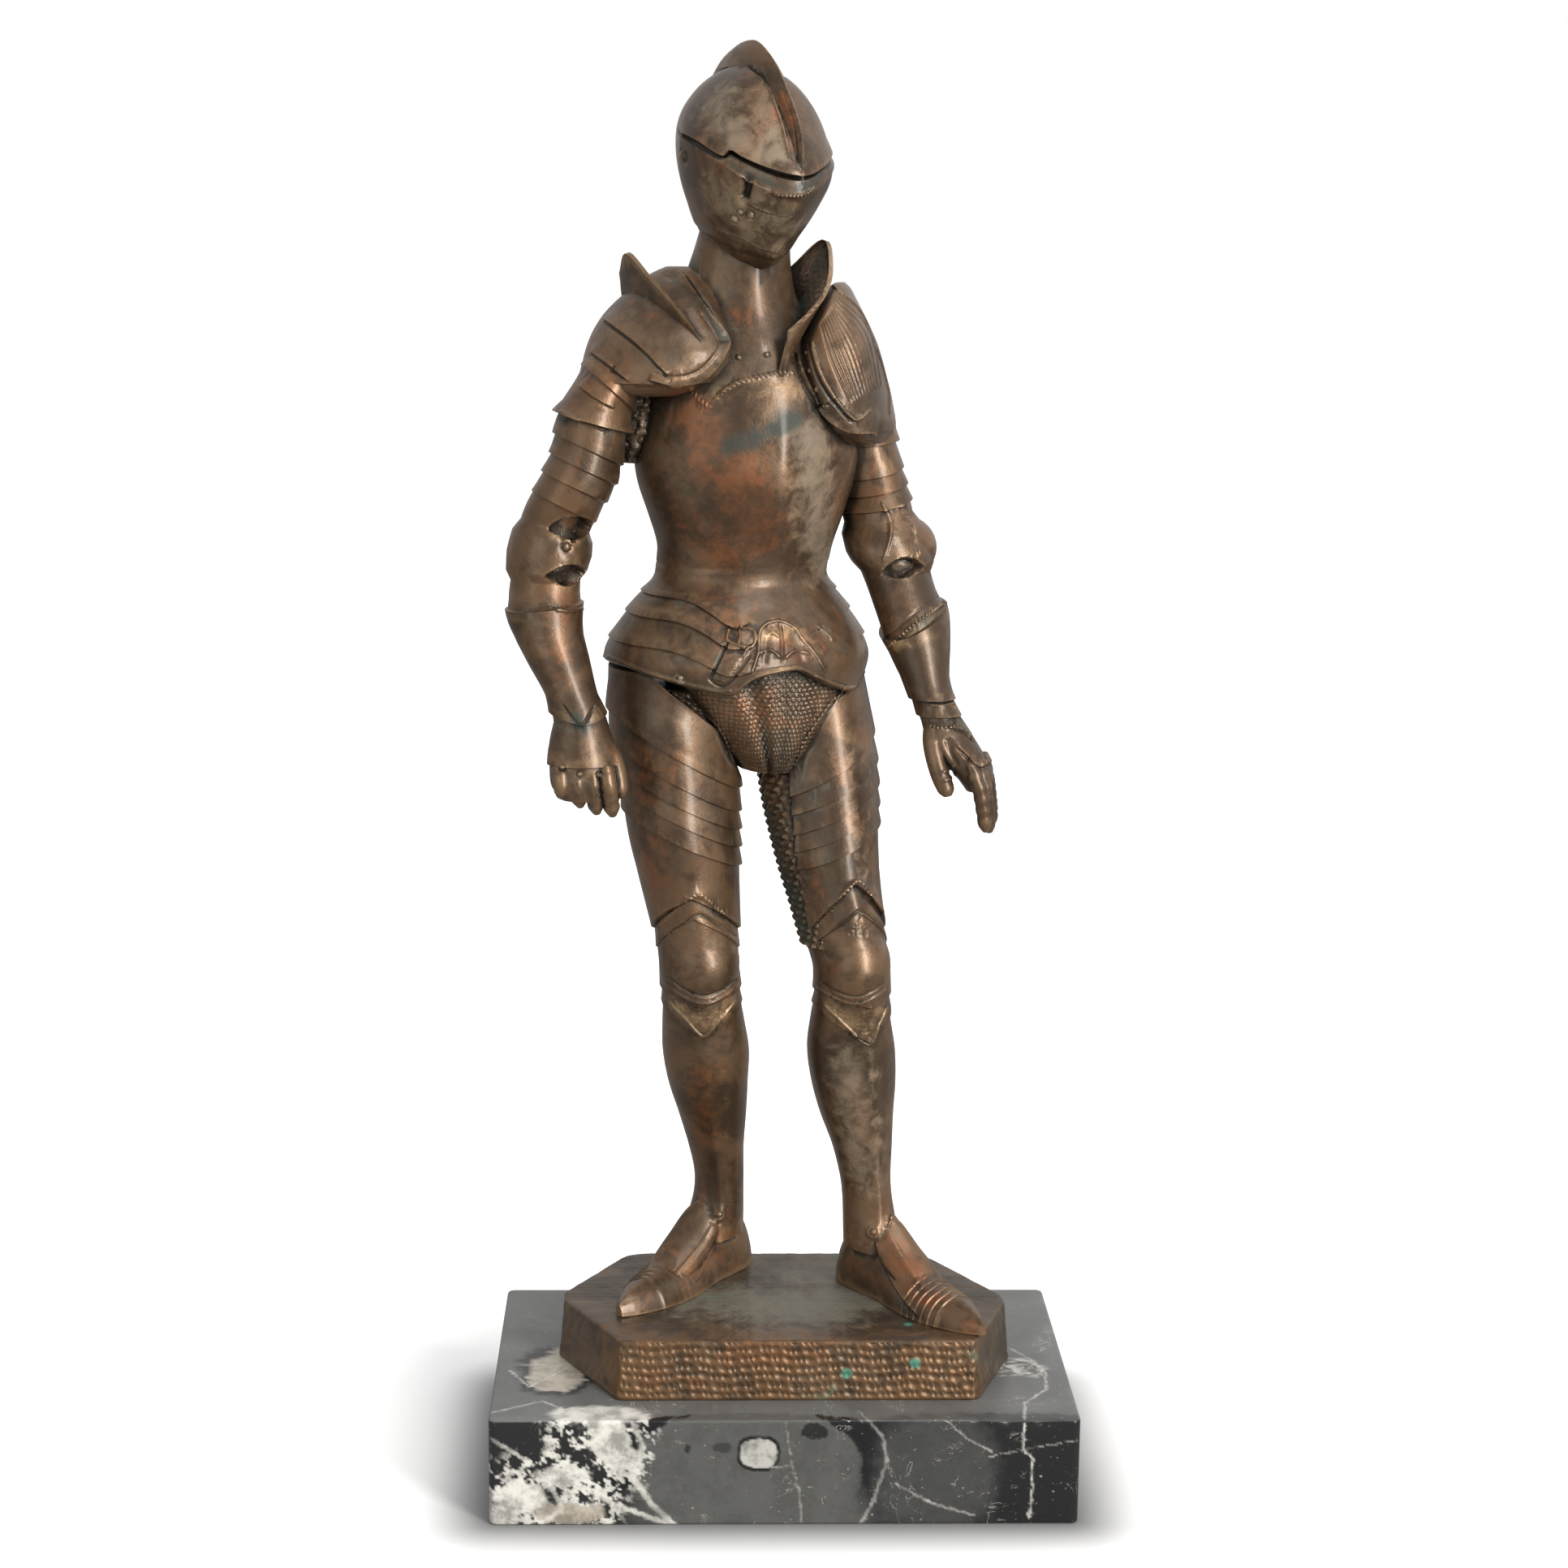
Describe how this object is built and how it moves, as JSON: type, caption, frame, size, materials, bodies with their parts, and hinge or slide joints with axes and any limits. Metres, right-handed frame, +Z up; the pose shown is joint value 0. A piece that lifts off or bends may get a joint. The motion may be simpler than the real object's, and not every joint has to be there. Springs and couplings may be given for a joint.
{
  "type": "medieval knight statue",
  "caption": "Cast bronze figure of a standing knight in full plate armour with a closed helmet, on an eight-sided bronze base and a rectangular marble plinth.",
  "frame": {"origin": "middle of the marble plinth's underside", "axes": "+Z up; -Y is the front, the long side of the plinth that the knight faces; +X is the knight's left"},
  "size_m": [0.16, 0.1, 0.394],
  "materials": {
    "knight_bronze": "patinated bronze, brown with worn ochre edges and traces of green",
    "base_bronze": "patinated bronze, duller than the figure, hammered front face",
    "black_marble": "polished black marble with grey clouds and white veins"
  },
  "bodies": {
    "root": {"bronze_knight": "knight_bronze", "bronze_base": "base_bronze", "marble_plinth": "black_marble"}
  },
  "joints": []
}
